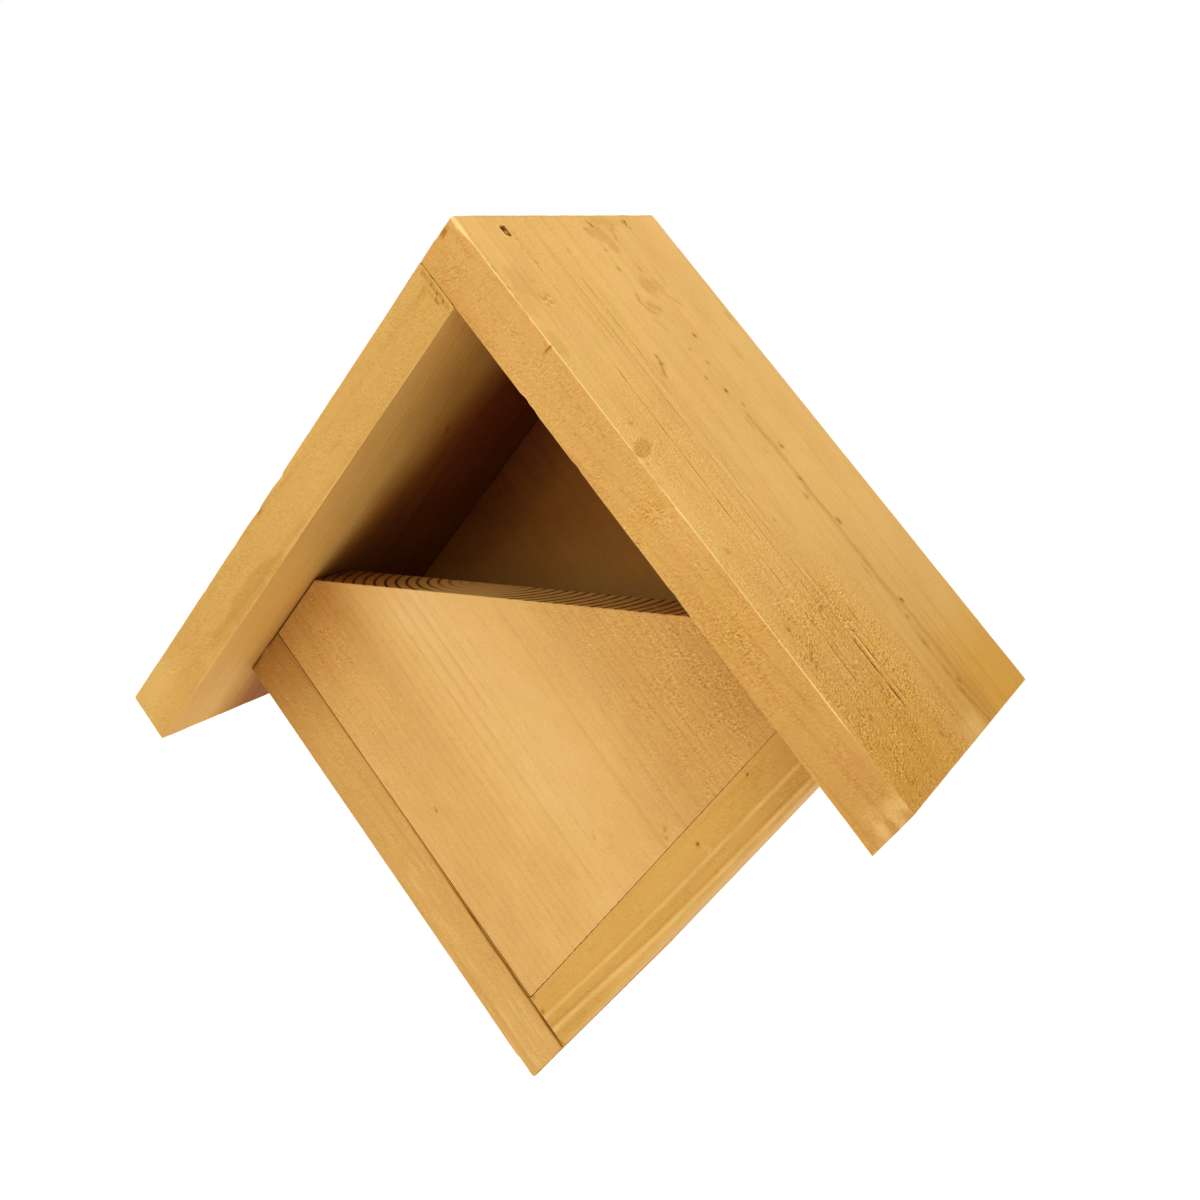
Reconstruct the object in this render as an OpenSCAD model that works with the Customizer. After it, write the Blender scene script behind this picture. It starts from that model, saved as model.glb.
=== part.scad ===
// Robin nest box: a square box standing on its corner under two roof boards, open at the upper front.
// The origin is the hanging hole's mouth on the back plane, where the wall is. The front faces -Y.
// A place across the box is given as [down_right, down_left]: how far it lies down the slope of the
// right roof board and how far down the slope of the left one, both from the outer edge of the ridge.

/* [Roof] */
// Angle between the two roof boards at the ridge, degrees
ridge_angle = 81; // [74:0.5:96]
// Thickness of the roof boards
roof_t = 18; // [14:0.5:22]
// Length of the right roof board, which covers the ridge
roof_right_l = 218; // [208:1:260]
// Length of the left roof board, which butts under the right one
roof_left_l = 200; // [190:1:240]
// Depth of the box from the front of the roof to the wall
depth = 140; // [120:1:180]

/* [Box] */
// Thickness of the two lower boards
side_t = 19; // [14:0.5:22]
// Clear width inside the box, down the right slope
clear_right = 155; // [145:1:162]
// Clear width inside the box, down the left slope
clear_left = 155; // [145:1:162]
// How far the front of the box stands back from the front of the roof
porch = 30; // [15:1:40]

/* [Front panel] */
// Thickness of the front panel
front_t = 18; // [12:0.5:22]
// Distance from the inner ridge to the panel's level top edge, down a roof board
entrance_reach = 127.5; // [105:0.5:135]
// Open seam along the panel's two left edges
panel_seam = 0.3; // [0.1:0.1:0.6]

/* [Back panel] */
// Thickness of the back panel
back_t = 18; // [12:0.5:22]
// Diameter of the hanging hole
hole_d = 5.5; // [4:0.5:8]
// Height of the inner ridge above the hanging hole
hole_drop = 45; // [35:1:55]

/* [Brads] */
// Length of a brad's shank
brad_l = 32; // [28:1:38]
// Width of a brad's shank along the grain of the board that it goes through
brad_w = 1.6; // [1:0.1:2]
// Thickness of a brad's shank and head
brad_t = 1.4; // [1:0.1:1.6]
// Width of a brad's head
head_w = 3.4; // [2.6:0.1:4]
// Height of a brad's head
head_h = 0.8; // [0.5:0.1:1.2]
// How deep a head is driven below the face of the board
head_depth = 0.8; // [0.4:0.1:1.6]
// Play round a head in the pocket that it was driven into
head_play = 0.1; // [0.05:0.05:0.2]
// Distance of the ridge brads from the end of the right roof board
ridge_inset = 5; // [4:0.5:8]
// Distance of the corner brads from the front and back edges of the board that they enter
corner_inset = 18; // [14:1:24]
// Distance of the panel brads from the ends of the panel's edge
panel_inset = 32; // [26:1:40]

/* [Hidden] */

// The places of the three ridge brads, from the front of the roof
ridge_fronts = [24, 85, 110];

half = ridge_angle / 2;
// A board's thickness, measured down the slope of the board that it meets
roof_step = roof_t / sin(ridge_angle);
side_step = side_t / sin(ridge_angle);

// Inner and outer faces of the lower boards, down the slopes
inner_right = roof_step + clear_right;
outer_right = inner_right + side_step;
inner_left = roof_step + clear_left;
outer_left = inner_left + side_step;

// Planes along Y, with the wall at 0
roof_front = -depth;
box_front = roof_front + porch;
front_panel_back = box_front + front_t;
back_panel_front = -back_t;

// Height of the ridge's outer edge above the hanging hole
ridge_z = hole_drop + 2 * roof_step * cos(half);

// Middles of the places where brads enter a board's end or a panel's edge
side_middle_right = (inner_right + outer_right) / 2;
side_middle_left = (inner_left + outer_left) / 2;
corner_ys = [box_front + corner_inset, box_front / 2, -corner_inset];
front_panel_y = (box_front + front_panel_back) / 2;
back_panel_y = back_panel_front / 2;
panel_rights = [roof_step + panel_inset, inner_right - panel_inset];
panel_lefts = [roof_step + panel_inset, inner_left - panel_inset];

honey = [0.84, 0.64, 0.36];
honey_dark = [0.78, 0.57, 0.30];
steel = [0.36, 0.31, 0.26];

// A place down the two slopes, as a point of the box's cross-section
function place(p) = [(p[0] - p[1]) * sin(half), ridge_z - (p[0] + p[1]) * cos(half)];

// A solid with the given corners, from one plane along Y to another
module between(y_front, y_back, corners)
    translate([0, y_back, 0])
        rotate([90, 0, 0])
            linear_extrude(y_back - y_front)
                polygon([for (c = corners) place(c)]);

// The corners of a board or panel between two places down each slope
function block(right_from, right_to, left_from, left_to) =
    [[right_from, left_from], [right_to, left_from], [right_to, left_to], [right_from, left_to]];

// Puts a brad that points down -Z at a place, turned so that it follows a slope
module driven(p, y, turn)
    translate([place(p)[0], y, place(p)[1]])
        rotate([0, turn, 0])
            children();

// One brad. Z 0 is the face of the board that it is driven into.
module brad() {
    translate([-head_w / 2, -brad_t / 2, -head_depth - head_h])
        cube([head_w, brad_t, head_h]);
    translate([-brad_w / 2, -brad_t / 2, -head_depth - head_h - brad_l])
        cube([brad_w, brad_t, brad_l]);
}

// What a brad takes out of the wood: a pocket for the head and a close hole for the shank
module brad_room() {
    above = roof_t;
    translate([-head_w / 2 - head_play, -brad_t / 2 - head_play, -head_depth - head_h])
        cube([head_w + 2 * head_play, brad_t + 2 * head_play, head_h + head_depth + above]);
    translate([-brad_w / 2, -brad_t / 2, -head_depth - head_h - brad_l])
        cube([brad_w, brad_t, brad_l]);
}

// The places of each group of brads. Each brad runs in line with the board or panel that it enters.
module at_ridge()
    for (y = ridge_fronts)
        driven([ridge_inset, 0], roof_front + y, half)
            children();

module at_eaves()
    for (y = corner_ys)
        driven([0, side_middle_left], y, -half)
            children();

module at_bottom_corner()
    for (y = corner_ys)
        driven([side_middle_right, outer_left], y, 180 + half)
            children();

module at_left_of_panel(y)
    for (right = panel_rights)
        driven([right, outer_left], y, 180 + half)
            children();

module at_right_of_panel(y)
    for (left = panel_lefts)
        driven([outer_right, left], y, 180 - half)
            children();

module at_front_panel() {
    at_left_of_panel(front_panel_y) children();
    at_right_of_panel(front_panel_y) children();
}

module at_back_panel() {
    at_left_of_panel(back_panel_y) children();
    at_right_of_panel(back_panel_y) children();
    for (left = panel_lefts)
        driven([0, left], back_panel_y, -half)
            children();
}

// The right roof board covers the ridge, with its end flush with the left board's outer face
module roof_board_right()
    color(honey)
        difference() {
            between(roof_front, 0, block(0, roof_right_l, 0, roof_step));
            at_ridge() brad_room();
        }

// The left roof board butts against the right one's inner face
module roof_board_left()
    color(honey)
        difference() {
            between(roof_front, 0, block(0, roof_step, roof_step, roof_step + roof_left_l));
            at_ridge() brad_room();
            at_eaves() brad_room();
            at_back_panel() brad_room();
        }

// The lower left board butts against the left roof board and runs through to the bottom tip
module side_board_left()
    color(honey_dark)
        difference() {
            between(box_front, 0, block(roof_step, outer_right, inner_left, outer_left));
            at_eaves() brad_room();
            at_bottom_corner() brad_room();
            at_front_panel() brad_room();
            at_back_panel() brad_room();
        }

// The lower right board stands between the right roof board and the lower left board
module side_board_right()
    color(honey_dark)
        difference() {
            between(box_front, 0, block(inner_right, outer_right, roof_step, inner_left));
            at_bottom_corner() brad_room();
            at_front_panel() brad_room();
            at_back_panel() brad_room();
        }

// The front panel fills the box's lower part up to a level edge, below the entrance
module front_panel()
    color(honey)
        difference() {
            between(box_front, front_panel_back, [
                [roof_step + entrance_reach, roof_step],
                [inner_right, roof_step],
                [inner_right, inner_left - panel_seam],
                [roof_step + panel_seam, inner_left - panel_seam],
                [roof_step + panel_seam, roof_step + entrance_reach - panel_seam]
            ]);
            at_front_panel() brad_room();
        }

// The back panel fills the whole box, flush with the boards at the wall, and has the hanging hole
module back_panel()
    color(honey)
        difference() {
            between(back_panel_front, 0, block(roof_step, inner_right, roof_step, inner_left));
            rotate([90, 0, 0])
                cylinder(h = 4 * back_t, d = hole_d, center = true, $fn = 48);
            at_back_panel() brad_room();
        }

module ridge_brads()
    color(steel)
        at_ridge() brad();

module eaves_brads()
    color(steel)
        at_eaves() brad();

module bottom_corner_brads()
    color(steel)
        at_bottom_corner() brad();

module front_panel_brads()
    color(steel)
        at_front_panel() brad();

module back_panel_brads()
    color(steel)
        at_back_panel() brad();

roof_board_right();
roof_board_left();
side_board_left();
side_board_right();
front_panel();
back_panel();
ridge_brads();
eaves_brads();
bottom_corner_brads();
front_panel_brads();
back_panel_brads();
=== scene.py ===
import math

import bmesh
import bpy
from mathutils import Matrix, Vector, noise


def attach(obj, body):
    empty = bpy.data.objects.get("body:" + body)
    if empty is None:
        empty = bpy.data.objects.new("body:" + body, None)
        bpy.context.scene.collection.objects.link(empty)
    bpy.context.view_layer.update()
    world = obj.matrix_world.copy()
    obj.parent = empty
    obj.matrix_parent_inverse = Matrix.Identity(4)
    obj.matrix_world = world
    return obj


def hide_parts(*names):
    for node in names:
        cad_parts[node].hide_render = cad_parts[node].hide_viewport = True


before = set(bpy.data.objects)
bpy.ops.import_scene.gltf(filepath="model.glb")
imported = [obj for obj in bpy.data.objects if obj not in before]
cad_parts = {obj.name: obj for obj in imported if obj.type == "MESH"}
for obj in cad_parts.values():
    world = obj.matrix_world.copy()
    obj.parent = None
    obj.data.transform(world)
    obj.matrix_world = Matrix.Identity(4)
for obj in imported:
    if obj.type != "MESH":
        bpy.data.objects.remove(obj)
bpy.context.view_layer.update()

# Camera: it stands 0.6 m from the box, to its right and level with the ridge, so near that the boards
# run together towards the back.
camera_data = bpy.data.cameras.new("camera")
camera_data.sensor_width = 36
camera_data.lens = 46.2
camera_data.shift_y = -0.125
camera = bpy.data.objects.new("camera", camera_data)
bpy.context.collection.objects.link(camera)
bpy.context.scene.camera = camera

camera_place = Vector((0.25395, -0.53345, 0.06527))
camera_aim = Vector((-0.02142, -0.00682, -0.01733))
camera_roll = math.radians(1.54)
ahead = (camera_aim - camera_place).normalized()
level_right = ahead.cross(Vector((0, 0, 1))).normalized()
level_down = ahead.cross(level_right)
to_right = level_right * math.cos(camera_roll) + level_down * math.sin(camera_roll)
to_top = to_right.cross(ahead)
turn = Matrix((to_right, to_top, -ahead)).transposed()
camera.matrix_world = Matrix.Translation(camera_place) @ turn.to_4x4()

# Studio: a white floor well below the hanging box, white surroundings, and soft lamps: one over the
# ridge, one high in front, and one further off to the left, which reaches in under the roof.
bpy.context.scene.view_settings.view_transform = "Standard"
bpy.context.scene.view_settings.gamma = 0.8
world = bpy.data.worlds.new("white_surroundings")
bpy.context.scene.world = world
world.use_nodes = True
world.node_tree.nodes["Background"].inputs["Color"].default_value = (1, 1, 1, 1)
world.node_tree.nodes["Background"].inputs["Strength"].default_value = 1.0

floor_z = -0.52
floor_half = 40.0
floor_mesh = bpy.data.meshes.new("floor")
floor_corners = [(x * floor_half, y * floor_half, floor_z)
                 for x, y in ((-1, -1), (1, -1), (1, 1), (-1, 1))]
floor_mesh.from_pydata(floor_corners, [], [(0, 1, 2, 3)])
floor = bpy.data.objects.new("floor", floor_mesh)
bpy.context.collection.objects.link(floor)
floor_paint = bpy.data.materials.new("white_floor")
floor_paint.use_nodes = True
floor_shader = floor_paint.node_tree.nodes["Principled BSDF"]
floor_shader.inputs["Base Color"].default_value = (0.96, 0.96, 0.96, 1)
floor_shader.inputs["Roughness"].default_value = 1.0
floor_shader.inputs["Specular IOR Level"].default_value = 0.0
floor_shader.inputs["Emission Color"].default_value = (1, 1, 1, 1)
floor_shader.inputs["Emission Strength"].default_value = 0.06
floor_mesh.materials.append(floor_paint)


def soft_lamp(name, place, aim, size, watts):
    """A square studio lamp that points at a place."""
    data = bpy.data.lights.new(name, "AREA")
    data.shape = "SQUARE"
    data.size = size
    data.energy = watts
    lamp = bpy.data.objects.new(name, data)
    bpy.context.collection.objects.link(lamp)
    lamp.location = place
    lamp.visible_camera = False
    lamp.rotation_mode = "QUATERNION"
    lamp.rotation_quaternion = (Vector(aim) - Vector(place)).to_track_quat("-Z", "Y")


soft_lamp("lamp_over_ridge", (0.02, -0.10, 0.36), (0.02, -0.07, 0.02), 0.25, 0.2)
soft_lamp("lamp_above", (0.1, -0.9, 1.4), (0, -0.07, -0.05), 1.2, 3)
soft_lamp("lamp_low_in_front", (-0.34, -2.01, 0.43), (0, -0.1, -0.06), 0.7, 3.7)

# Right roof board: softwood, 18 mm thick, cut parallel to the other roof board at both ends, sanded and
# stained honey. It lies over the end of the left board and is held there by three brads near the ridge.
mm = 0.001
ridge_degrees = 81.0
roof_stock = 18.0
roof_deep = 140.0
right_roof_long = 218.0
hole_to_inner_ridge = 45.0
half_ridge = math.radians(ridge_degrees / 2)
ridge_sin = math.sin(half_ridge)
ridge_cos = math.cos(half_ridge)

# The board's thickness, as it is met down the other slope, and the ridge's height above the hanging hole
roof_thick = roof_stock / math.sin(2 * half_ridge)
ridge_z = hole_to_inner_ridge + 2 * roof_thick * ridge_cos


def place(right, left, y):
    """A point of the box, in metres, from how far it lies down each roof slope, and its depth, in mm."""
    return Vector(((right - left) * ridge_sin, y, ridge_z - (right + left) * ridge_cos)) * mm


down_right = (place(1, 0, 0) - place(0, 0, 0)).normalized()
down_left = (place(0, 1, 0) - place(0, 0, 0)).normalized()
in_from_right = Vector((-ridge_cos, 0, -ridge_sin))
in_from_left = Vector((ridge_cos, 0, -ridge_sin))
to_wall = Vector((0, 1, 0))


def soft(distance, width):
    """1 in the middle of a mark, falling away to 0 over its width."""
    return math.exp(-(distance / width) ** 2)


def rise(value, start, end):
    """0 before start and 1 after end, turning smoothly between them."""
    part = min(max((value - start) / (end - start), 0), 1)
    return part * part * (3 - 2 * part)


def fall(value, start, end):
    """1 before start and 0 after end."""
    return 1 - rise(value, start, end)


def stretch(value, start, full, fading, end):
    """1 along a stretch that starts and ends softly, and 0 outside it."""
    return rise(value, start, full) * fall(value, fading, end)


def oval(a, w, at_a, at_w, long, wide):
    """How far a place is from the middle of an oval mark, where 1 is its edge."""
    return math.hypot((a - at_a) / long, (w - at_w) / wide)


def grain_noise(a, b, c, length, width, seed=0.0):
    """Noise that is drawn out along the grain, from -1 to 1."""
    return noise.noise(Vector((a / length + seed, b / width + seed * 1.7, c / width - seed)))


def cuts(start, end, step, at=(), fine=()):
    """Places to cut a side at: closest at its two arrises, closer in fine spans, and always at some."""
    near = (0, 0.12, 0.28, 0.5, 0.8, 1.2, 1.8, 2.6)
    fixed = sorted({round(v, 4) for v in at} | {start + n for n in near} | {end - n for n in near})
    places = list(fixed)
    value = start + near[-1]
    while value < end - near[-1]:
        pace = step
        for low, high, close in fine:
            if low <= value <= high:
                pace = close
        value += pace
        if value < end - near[-1] and min(abs(value - f) for f in fixed) > pace * 0.3:
            places.append(value)
    return sorted(places)


def pocket_cuts(centres, half_size, slope):
    """The cuts at the lip and the floor of pockets."""
    reaches = (half_size, half_size - slope)
    return [c + side * reach for c in centres for side in (-1, 1) for reach in reaches]


class Skin:
    """What one point of a board has: how far it sinks in, how dark it is marked, how bare the sandpaper
    left it, with a painted highlight on the right roof's front arris, how much darker its stain is, with
    painted shade inside the box and under the roofs, and how coarse the saw or the plane left it."""

    def __init__(self, depth, wear_and_highlight):
        self.depth = depth
        self.mark = 0.0
        self.wear_and_highlight = wear_and_highlight
        self.deep = 0.0
        self.coarse = 0.10

    def darken(self, mark):
        self.mark = max(self.mark, mark)

    def bare(self, wear_and_highlight):
        self.wear_and_highlight = max(self.wear_and_highlight, wear_and_highlight)


def planed(a, w, t, seed, mean, wave, ripple):
    """The shallow waves and ripples that a planer leaves, each as its height, length and width."""
    high, long, wide = wave
    low, short, narrow = ripple
    return (mean + high * grain_noise(a, w, t, long, wide, seed)
            + low * grain_noise(a, w, t, short, narrow, seed + 3))


def rubbed(a, w, t, out, seed, reach, mean, uneven, long, wide):
    """How bare the sandpaper left an arris."""
    arris = 1 - max(abs(out.x), abs(out.y), abs(out.z))
    return min(arris * reach, 1) * (mean + uneven * grain_noise(a, w, t, long, wide, seed + 6))


def board(name, along, across, through, put, axes, ease, relief, drift, creep=None):
    """A board as one closed mesh of small cells, with eased arrises and whatever relief lies on it.

    along, across and through are the places of its cuts. put turns them into a point of the box. axes
    are its three directions, square to each other. ease gives the radii at an arris, and relief the skin
    at a point, from its place and the way it faces. drift is how far the grain has run to one side, and
    creep how far another tint of stain crept over the face."""
    shape = bmesh.new()
    grain_layer = shape.verts.layers.float_vector.new("grain")
    layers = [shape.verts.layers.float.new(layer)
              for layer in ("mark", "wear_and_highlight", "deep", "coarse", "end", "edge", "creep")]
    low = (along[0], across[0], through[0])
    high = (along[-1], across[-1], through[-1])
    corner = put(*low)
    made = {}

    def point(i, j, k):
        if (i, j, k) in made:
            return made[i, j, k]
        spot = (along[i], across[j], through[k])
        radii = ease(*spot)
        inner = [min(max(s, lo + r), hi - r) for s, lo, hi, r in zip(spot, low, high, radii)]
        out = Vector([(s - n) / r for s, n, r in zip(spot, inner, radii)])
        out.normalize()
        skin = relief(*spot, out)
        rounded = [n + o * (r - skin.depth) for n, o, r in zip(inner, out, radii)]
        vert = shape.verts.new(put(*rounded))
        on_board = (vert.co - corner) / mm
        run = on_board.dot(axes[0])
        vert[grain_layer] = (run, on_board.dot(axes[1]) + drift(run), on_board.dot(axes[2]))
        end = float(i in (0, len(along) - 1))
        edge = rise(abs(out.y), 0.5, 0.8)
        crept = creep(*spot) * (1 - edge) if creep else 0.0
        values = (skin.mark, skin.wear_and_highlight, skin.deep, skin.coarse, end, edge, crept)
        for layer, value in zip(layers, values):
            vert[layer] = value
        made[i, j, k] = vert
        return vert

    last = (len(along) - 1, len(across) - 1, len(through) - 1)
    for fixed in range(3):
        one, two = [axis for axis in range(3) if axis != fixed]
        for side in (0, last[fixed]):
            for p in range(last[one]):
                for q in range(last[two]):
                    corners = []
                    for step_p, step_q in ((0, 0), (1, 0), (1, 1), (0, 1)):
                        index = [0, 0, 0]
                        index[fixed] = side
                        index[one] = p + step_p
                        index[two] = q + step_q
                        corners.append(point(*index))
                    shape.faces.new(corners)
    bmesh.ops.recalc_face_normals(shape, faces=shape.faces)
    for face in shape.faces:
        face.smooth = True
    mesh = bpy.data.meshes.new(name)
    shape.to_mesh(mesh)
    shape.free()
    made_board = bpy.data.objects.new(name, mesh)
    bpy.context.collection.objects.link(made_board)
    return made_board


def add_node(tree, kind, inputs=(), **settings):
    """One shader node, with its settings made and its sockets set or linked."""
    made = tree.nodes.new("ShaderNode" + kind)
    for key, value in settings.items():
        setattr(made, key, value)
    for socket, value in dict(inputs).items():
        if isinstance(value, bpy.types.NodeSocket):
            tree.links.new(value, made.inputs[socket])
        else:
            made.inputs[socket].default_value = value
    return made


def stained_wood(name, seed, pith, ring_gap, tones, rings=0.06, bands=0.2, fibres=0.08, unsteady=1.0,
                 first_ring=0.0, edge_tint_and_shade=(1.0, 1.0, 1.0), creep_tint=(1.0, 1.0, 1.0),
                 end_tint=(0.86, 0.77, 0.60), ring_colour=(0.30, 0.125, 0.030)):
    """Softwood under a honey stain. All of it is read from each board's own grain, in mm, so what runs
    along the faces meets what shows on the ends. pith is the middle of the tree, across the board.
    edge_tint_and_shade is how the stain differs on the board's narrow edges, which it also paints darker as
    shade to offset the low lamp in front, creep_tint where it crept in, and end_tint on the ends, where
    ring_colour is what the growth rings darken to."""
    paint = bpy.data.materials.new(name)
    paint.use_nodes = True
    tree = paint.node_tree
    shader = tree.nodes["Principled BSDF"]

    def math_node(operation, one, two=0.0, three=0.0, clamp=False):
        made = add_node(tree, "Math", {0: one, 1: two, 2: three}, operation=operation, use_clamp=clamp)
        return made.outputs[0]

    def vector_node(operation, one, two=(0, 0, 0), output="Vector"):
        return add_node(tree, "VectorMath", {0: one, 1: two}, operation=operation).outputs[output]

    def ramp(value, start, end, low=0.0, high=1.0):
        sockets = {"Value": value, "From Min": start, "From Max": end, "To Min": low, "To Max": high}
        return add_node(tree, "MapRange", sockets, interpolation_type="SMOOTHSTEP").outputs["Result"]

    def layer(attribute, output="Fac"):
        return add_node(tree, "Attribute", attribute_name=attribute).outputs[output]

    def weighed(total, parts):
        """Adds parts to a value, each by its weight."""
        for added, weight in parts:
            total = math_node("MULTIPLY_ADD", added, weight, total)
        return total

    grain = layer("grain", "Vector")
    mark, wear_and_highlight, deep, coarse, end, edge, crept = [
        layer(attribute) for attribute in ("mark", "wear_and_highlight", "deep", "coarse", "end", "edge", "creep")]
    moved = vector_node("ADD", grain, (seed * 37.0, seed * 11.0, seed * 5.0))

    def drawn_noise(length, width, detail=2.0, rough=0.5, aside=(0, 0, 0)):
        scale = (1 / length, 1 / width, 1 / width)
        scaled = vector_node("MULTIPLY", vector_node("ADD", moved, aside), scale)
        sockets = {"Vector": scaled, "Scale": 1.0, "Detail": detail, "Roughness": rough}
        return add_node(tree, "TexNoise", sockets).outputs["Fac"]

    # Growth rings, as a distance from the pith that wanders
    from_pith = vector_node("SUBTRACT", grain, (0, *pith))
    radius = vector_node("LENGTH", vector_node("MULTIPLY", from_pith, (0, 1, 1)), output="Value")
    bent = math_node("MULTIPLY_ADD", drawn_noise(170, 30), 5.0 * unsteady, -2.5 * unsteady)
    wander = math_node("ADD", radius, bent)
    uneven = add_node(tree, "TexNoise", {"W": math_node("MULTIPLY", wander, 0.16), "Scale": 1.0},
                      noise_dimensions="1D").outputs["Fac"]
    uneven = math_node("MULTIPLY_ADD", uneven, 5.0 * unsteady, -2.5 * unsteady)
    counted = math_node("DIVIDE", math_node("ADD", uneven, wander), ring_gap)
    part = math_node("FRACT", math_node("ADD", counted, first_ring))
    late = math_node("MULTIPLY", ramp(part, 0.62, 0.90), ramp(part, 0.92, 1.0, 1.0, 0.0))
    # On an end the rings are dark lines of uneven strength, faint straight above and below the pith
    beside_pith = add_node(tree, "SeparateXYZ", {0: from_pith}).outputs["Y"]
    ring_line = end
    for strength in (ramp(part, 0.58, 0.76), ramp(part, 0.89, 0.99, 1.0, 0.0),
                     ramp(math_node("ABSOLUTE", beside_pith), 5, 17, 0.22, 1.0),
                     ramp(drawn_noise(9, 3), 0.32, 0.6, 0.68, 1.0)):
        ring_line = math_node("MULTIPLY", ring_line, strength)

    fibre = drawn_noise(24, 0.42, 3.0, 0.6)
    streak = drawn_noise(110, 2.4)
    band = drawn_noise(500, 15, 1.0)
    blotch = drawn_noise(45, 26)
    patch = drawn_noise(11, 6, 3.0, 0.55)
    hue = drawn_noise(15, 9)
    mottle = drawn_noise(1.2, 1.1, 3.0, 0.7)
    # Small torn fibres: each has a lit side and a shaded side, so they are the slope of a fine noise
    fuzz = math_node("SUBTRACT", drawn_noise(0.7, 0.95, 2.0, 0.6),
                     drawn_noise(0.7, 0.95, 2.0, 0.6, (0.24, 0.29, 0.29)))
    fuzz = math_node("MULTIPLY", fuzz, ramp(drawn_noise(9, 6), 0.38, 0.62, 0.45, 1.25))
    pore = ramp(drawn_noise(4.0, 0.45, 1.0), 0.66, 0.74)
    speck = ramp(drawn_noise(1.4, 1.1, 1.0), 0.75, 0.80)
    rough_mottle = math_node("MULTIPLY", math_node("SUBTRACT", mottle, 0.5), coarse)
    rough_fuzz = math_node("MULTIPLY", fuzz, coarse)

    # All that lightens or darkens the stain, as one tone. Each noise adds as much as it takes away.
    noises = ((fibre, fibres), (streak, 0.07), (band, bands), (blotch, 0.20), (patch, 0.14), (mottle, 0.07))
    tone = weighed(0.5 - sum(weight for added, weight in noises) / 2, noises)
    # Darker stain, and the painted shade inside the box and under the roofs, pull the tone down
    darker = ((pore, -0.10), (speck, -0.20), (deep, -1.0))
    tone = weighed(tone, ((rough_mottle, 0.30), (rough_fuzz, 2.9), *darker))
    ring_strength = ramp(streak, 0.35, 0.65, rings * 0.35, rings * 1.6)
    tone = math_node("SUBTRACT", tone, math_node("MULTIPLY", late, ring_strength))

    # The tone runs from wood that is soaked with stain, where the painted shade inside the box also lies, at
    # -0.6, up to wood that hardly took it, at 1
    soaked_and_shaded, dark, middle, light = tones
    colour = add_node(tree, "ValToRGB", {"Fac": math_node("MULTIPLY_ADD", tone, 0.625, 0.375, clamp=True)})
    stops = colour.color_ramp.elements
    stops[0].position = 0.0
    stops[0].color = (*soaked_and_shaded, 1)
    stops[1].position = 1.0
    stops[1].color = (*light, 1)
    stops.new(0.375).color = (*dark, 1)
    stops.new(0.6875).color = (*middle, 1)
    stain = colour.outputs["Color"]

    def mixed(factor, one, two, kind="MIX"):
        made = add_node(tree, "Mix", {0: factor, 6: one, 7: (*two, 1)}, data_type="RGBA", blend_type=kind)
        return made.outputs[2]

    # The stain is a little more yellow or more red here and there, redder where the grain is rough, and
    # differs where it crept in, on the edges, which are also painted darker as shade to offset the low lamp
    # in front, and on the ends, which drink more of it
    for where, tint in ((ramp(hue, 0.52, 0.66), (0.985, 1.0, 0.96)),
                        (ramp(hue, 0.48, 0.34), (1.0, 0.985, 0.975)),
                        (math_node("MULTIPLY", coarse, 0.9, clamp=True), (1.0, 0.945, 0.66)),
                        (crept, creep_tint), (edge, edge_tint_and_shade), (end, end_tint)):
        stain = mixed(where, stain, tint, "MULTIPLY")
    ringed = mixed(ring_line, stain, ring_colour)
    # Rubbed arrises are paler, and on the right roof's front arris this paleness is also a painted highlight
    worn_and_highlit = mixed(math_node("MULTIPLY", wear_and_highlight, 0.75), ringed, (0.98, 0.74, 0.35))
    # A faint mark only browns the wood, and a strong one is nearly black
    faint = math_node("MULTIPLY", mark, 2.0, clamp=True)
    strong = math_node("MULTIPLY_ADD", mark, 2.0, -1.0, clamp=True)
    browned = mixed(faint, worn_and_highlit, (0.62, 0.47, 0.03), "MULTIPLY")
    tree.links.new(mixed(strong, browned, (0.085, 0.028, 0.004)), shader.inputs["Base Color"])

    dull = weighed(0.52, ((fibre, 0.10), (patch, 0.16), (coarse, 0.12)))
    dull = math_node("MULTIPLY_ADD", end, 0.15, dull, clamp=True)
    tree.links.new(dull, shader.inputs["Roughness"])
    shader.inputs["Specular IOR Level"].default_value = 0.35

    height = weighed(0.0, ((fibre, 0.5), (rough_mottle, 0.8), (rough_fuzz, 1.2), (pore, -0.5), (late, 0.25)))
    bump = add_node(tree, "Bump", {"Height": height, "Strength": 0.6, "Distance": 0.00014})
    tree.links.new(bump.outputs["Normal"], shader.inputs["Normal"])
    return paint


# Half of a brad's pocket along and across the grain, how far its head lies down, and where brads sit
pocket_long = 1.8
pocket_wide = 0.8
head_below = 0.86
ridge_brad_at = 5.0
ridge_brad_fronts = (24.0, 85.0, 110.0)

# How squarely a point faces out to be on a face or an edge, and how near an arris it is to belong to it
face_tilt = 0.85
edge_tilt = 0.6
near_arris = 9.0

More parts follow.
